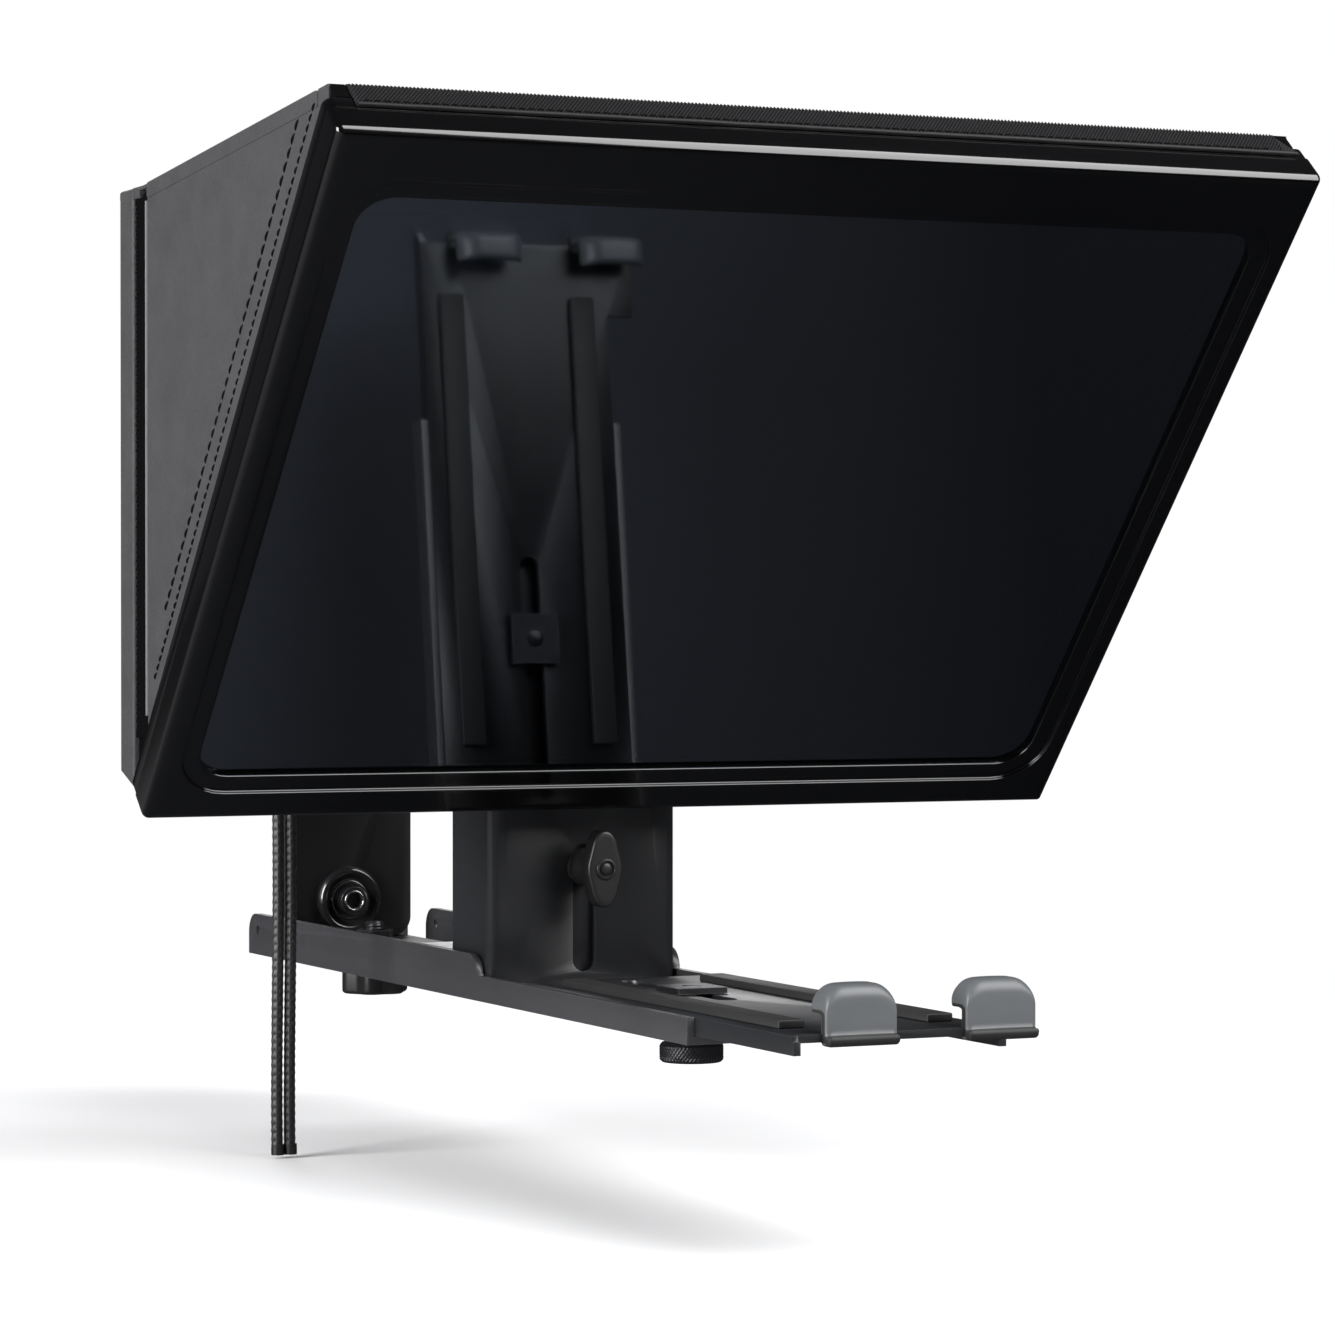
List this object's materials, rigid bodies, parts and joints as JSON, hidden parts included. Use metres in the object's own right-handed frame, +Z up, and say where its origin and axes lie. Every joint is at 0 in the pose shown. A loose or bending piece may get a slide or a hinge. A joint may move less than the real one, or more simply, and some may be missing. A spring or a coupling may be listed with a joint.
{
  "type": "teleprompter",
  "caption": "Folding teleprompter: leather hood with a leaning beam-splitter glass over a hooked tablet tray, on one rail with a raisable column and a rear camera platform.",
  "frame": {"origin": "mouth of the 1/4 inch tripod socket, on the underside of the rail", "axes": "+Z up, -Y towards the presenter, +Y towards the camera, X across"},
  "size_m": [0.2654, 0.3747, 0.2739],
  "materials": {
    "satin_black_steel": "satin powder coat",
    "black_oxide_steel": "black oxide",
    "aluminium_block": "dark anodised",
    "magnet_nickel": "nickel plate",
    "black_leather": "fine grain, satin",
    "ribbed_fabric": "ribbed weave",
    "black_fabric": "matte",
    "black_cord": "braided",
    "grey_rubber": "satin",
    "black_rubber": "matte",
    "black_plastic": "fine texture",
    "gloss_black_frame": "gloss",
    "beam_splitter_glass": "polished, part-mirrored front"
  },
  "bodies": {
    "base": {"base_rail": "satin_black_steel", "tripod_block": "aluminium_block", "block_screws": "black_oxide_steel", "inner_post": "satin_black_steel", "post_screws": "black_oxide_steel", "post_nut": "black_oxide_steel", "tray_nut": "black_oxide_steel"},
    "tray": {"tray_channel": "satin_black_steel", "tray_pads": "black_rubber", "hook_covers": "grey_rubber"},
    "tray_knob": {"tray_knob": "satin_black_steel"},
    "hood_carriage": {"hood_bracket": "satin_black_steel", "bracket_screws": "black_oxide_steel", "hood_back": "black_leather", "fold_strips": "black_fabric", "sleeve_ring": "satin_black_steel", "ring_screws": "black_oxide_steel", "lens_sleeve": "black_fabric", "drawcord": "black_cord", "hinge_leaf_hood": "satin_black_steel", "hinge_pins": "black_oxide_steel", "hood_rivets": "black_oxide_steel"},
    "cord_lock": {"cord_lock": "black_plastic"},
    "lock_button": {"lock_button": "black_plastic"},
    "wing_knob": {"wing_knob": "black_plastic", "knob_stud": "black_oxide_steel", "knob_washer": "black_oxide_steel"},
    "glass_frame": {"frame_bezel": "gloss_black_frame", "frame_back": "black_plastic", "frame_screws": "black_oxide_steel", "beam_splitter_glass": "beam_splitter_glass", "glass_gasket": "black_rubber", "catch_magnets": "magnet_nickel", "hinge_leaf_frame": "satin_black_steel", "frame_rivets": "black_oxide_steel"},
    "side_panel_left": {"side_panel_left": "black_leather"},
    "side_panel_right": {"side_panel_right": "black_leather"},
    "top_panel": {"top_panel": "black_leather", "top_hem": "ribbed_fabric"},
    "camera_carriage": {"rear_post": "satin_black_steel", "carriage_nut": "black_oxide_steel"},
    "carriage_knob": {"carriage_knob": "black_plastic"},
    "camera_platform": {"camera_bracket": "satin_black_steel", "riser_washer": "satin_black_steel", "riser_screw": "black_oxide_steel", "riser_nut": "black_oxide_steel", "platform_pad": "black_rubber"},
    "screw_retainer": {"screw_retainer": "black_oxide_steel"},
    "camera_screw": {"camera_screw": "black_oxide_steel"}
  },
  "joints": [
    {"name": "tray_slide", "type": "slide", "parent": "base", "child": "tray", "axis": [0, -1, 0], "range_m": [-0.02, 0.038]},
    {"name": "tray_knob_turn", "type": "hinge", "parent": "base", "child": "tray_knob", "pos_m": [0, -0.116, 0], "axis": [0, 0, 1], "continuous": true},
    {"name": "hood_lift", "type": "slide", "parent": "base", "child": "hood_carriage", "axis": [0, 0, 1], "range_m": [0, 0.025]},
    {"name": "wing_knob_turn", "type": "hinge", "parent": "base", "child": "wing_knob", "pos_m": [0, -0.047, 0.036], "axis": [0, 1, 0], "continuous": true},
    {"name": "cord_lock_slide", "type": "slide", "parent": "hood_carriage", "child": "cord_lock", "axis": [0, 0, -1], "range_m": [0, 0.115]},
    {"name": "lock_button_press", "type": "slide", "parent": "cord_lock", "child": "lock_button", "axis": [0, 0, -1], "range_m": [0, 0.0025]},
    {"name": "glass_frame_fold", "type": "hinge", "parent": "hood_carriage", "child": "glass_frame", "pos_m": [0, -0.05881, 0.06665], "axis": [1, 0, 0], "range_deg": [0, 45]},
    {"name": "left_panel_fold", "type": "hinge", "parent": "hood_carriage", "child": "side_panel_left", "pos_m": [-0.128, -0.0595, 0.14], "axis": [0, 0, -1], "range_deg": [0, 105]},
    {"name": "right_panel_fold", "type": "hinge", "parent": "hood_carriage", "child": "side_panel_right", "pos_m": [0.128, -0.0595, 0.14], "axis": [0, 0, 1], "range_deg": [0, 105]},
    {"name": "top_panel_fold", "type": "hinge", "parent": "hood_carriage", "child": "top_panel", "pos_m": [0, -0.0595, 0.2139], "axis": [-1, 0, 0], "range_deg": [0, 105]},
    {"name": "carriage_slide", "type": "slide", "parent": "base", "child": "camera_carriage", "axis": [0, -1, 0], "range_m": [0, 0.05]},
    {"name": "carriage_knob_turn", "type": "hinge", "parent": "camera_carriage", "child": "carriage_knob", "pos_m": [0, 0.1118, 0], "axis": [0, 0, 1], "continuous": true},
    {"name": "platform_lift", "type": "slide", "parent": "camera_carriage", "child": "camera_platform", "axis": [0, 0, 1], "range_m": [0, 0.025]},
    {"name": "camera_screw_slide", "type": "slide", "parent": "camera_platform", "child": "screw_retainer", "axis": [0, 1, 0], "range_m": [-0.014, 0.014]},
    {"name": "camera_screw_turn", "type": "hinge", "parent": "screw_retainer", "child": "camera_screw", "pos_m": [0, 0.107, 0.076], "axis": [0, 0, 1], "continuous": true}
  ]
}
